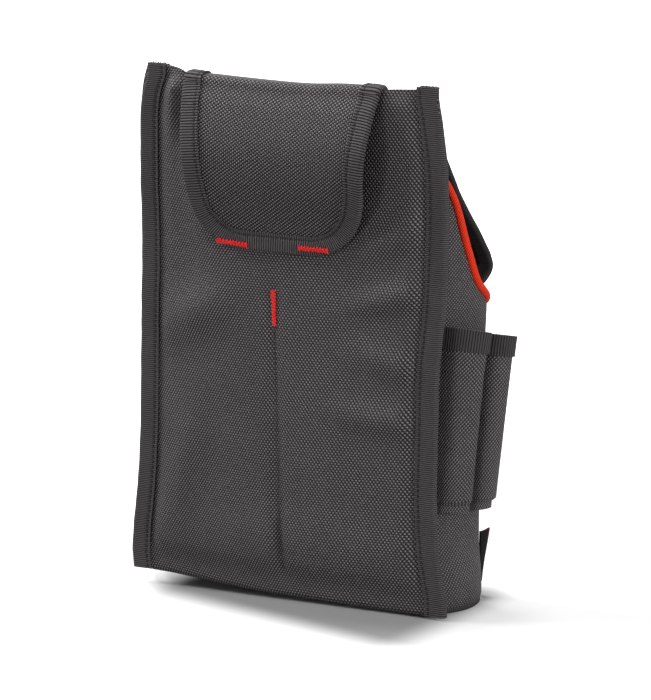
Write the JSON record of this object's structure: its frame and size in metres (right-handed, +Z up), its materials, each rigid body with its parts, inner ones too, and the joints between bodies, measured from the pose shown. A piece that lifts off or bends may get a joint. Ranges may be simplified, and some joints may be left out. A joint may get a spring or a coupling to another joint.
{
  "type": "tool pouch",
  "caption": "Electrician's belt pouch of heavy black woven cloth with bound seams, red piping, a belt loop, a cover flap and driver loops",
  "frame": {"origin": "on the ground, under the middle of the base, midway between the back and the front", "axes": "+X to the tool loops, +Y to the front, -Y to the belt, +Z up to the belt loop"},
  "size_m": [0.198, 0.0758, 0.2655],
  "materials": {
    "outer_cloth": "heavy plain weave",
    "lining_cloth": "smooth coated cloth",
    "edge_tape": "ribbed binding tape",
    "red_piping": "braided cord",
    "red_thread": "close stitching",
    "board": "plain sheet",
    "tab_tape": "folded woven tape"
  },
  "bodies": {
    "pouch": {"back_panel": "outer_cloth", "back_board": "board", "back_lining": "lining_cloth", "left_edge_binding": "edge_tape", "right_edge_binding": "edge_tape", "body_wall": "outer_cloth", "mouth_piping": "red_piping", "base_binding": "edge_tape", "belt_loop": "outer_cloth", "belt_loop_binding": "edge_tape", "belt_loop_tack_left": "red_thread", "belt_loop_tack_right": "red_thread", "pocket_tack": "red_thread", "inner_pocket": "lining_cloth", "inner_pocket_binding": "edge_tape", "tool_loops": "outer_cloth", "tool_loops_binding": "edge_tape", "front_pocket": "outer_cloth", "front_pocket_binding": "edge_tape", "flap_root_tape": "edge_tape"},
    "flap": {"cover_flap": "lining_cloth", "cover_flap_binding": "edge_tape"},
    "tab": {"side_tab": "tab_tape"}
  },
  "joints": [
    {"name": "cover_flap_hinge", "type": "hinge", "parent": "pouch", "child": "flap", "pos_m": [0, -0.0182, 0.2418], "axis": [1, 0, 0], "range_deg": [0, 125]},
    {"name": "side_tab_flex", "type": "hinge", "parent": "pouch", "child": "tab", "pos_m": [0.08292, 0.02329, 0.022], "axis": [0, 0, 1], "range_deg": [-40, 30], "stiffness_Nm_per_rad": 0.0005}
  ]
}
